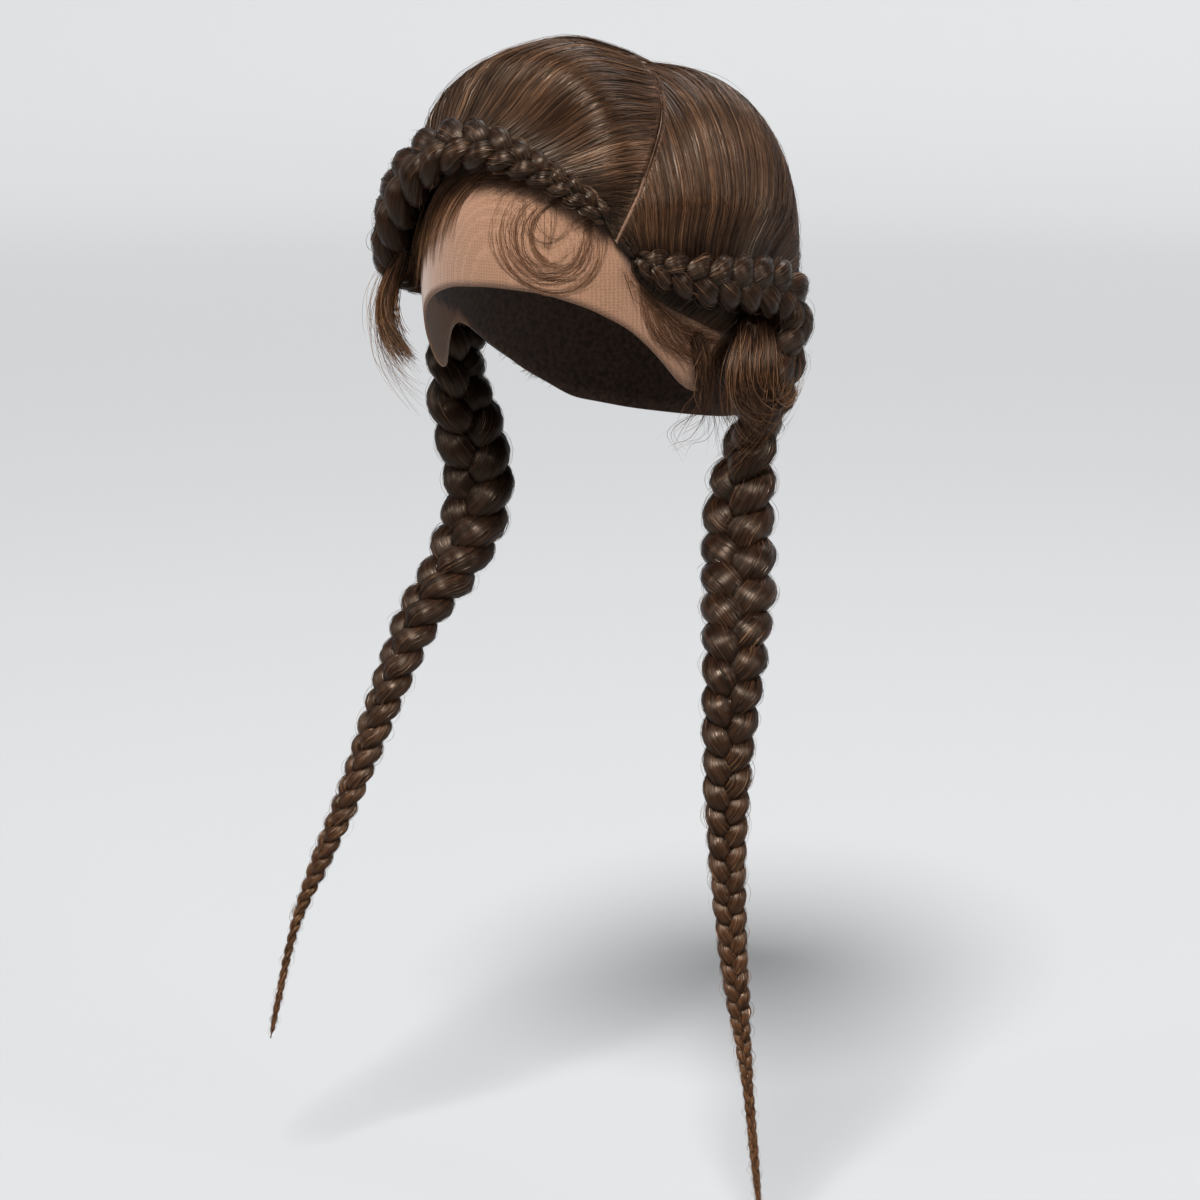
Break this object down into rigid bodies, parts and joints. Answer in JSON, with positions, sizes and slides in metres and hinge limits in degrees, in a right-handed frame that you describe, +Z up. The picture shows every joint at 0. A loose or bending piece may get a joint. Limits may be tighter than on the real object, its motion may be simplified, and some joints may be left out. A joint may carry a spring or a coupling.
{
  "type": "braid wig",
  "caption": "Lace-front wig with a curved side parting, two raised plaits along the hairline and two long tapering plaits that hang forward.",
  "frame": {"origin": "the inner top of the cap, where the wearer's crown meets it", "axes": "+Z up; the forehead towards -Y; the wearer's left towards +X"},
  "size_m": [0.2594, 0.2115, 0.529],
  "materials": {
    "lace": "fine matte net",
    "hair": "combed dark brown hair with a soft sheen",
    "loose_hair": "loose brown hair with a soft sheen"
  },
  "bodies": {
    "root": {"lace_cap": "lace", "crown_hair_left": "hair", "crown_hair_right": "hair", "side_hair_left": "hair", "side_hair_right": "hair", "plait_left": "hair", "plait_right": "hair", "ear_lock_left": "loose_hair", "sideburn_left": "loose_hair", "temple_lock_right": "loose_hair"}
  },
  "joints": []
}
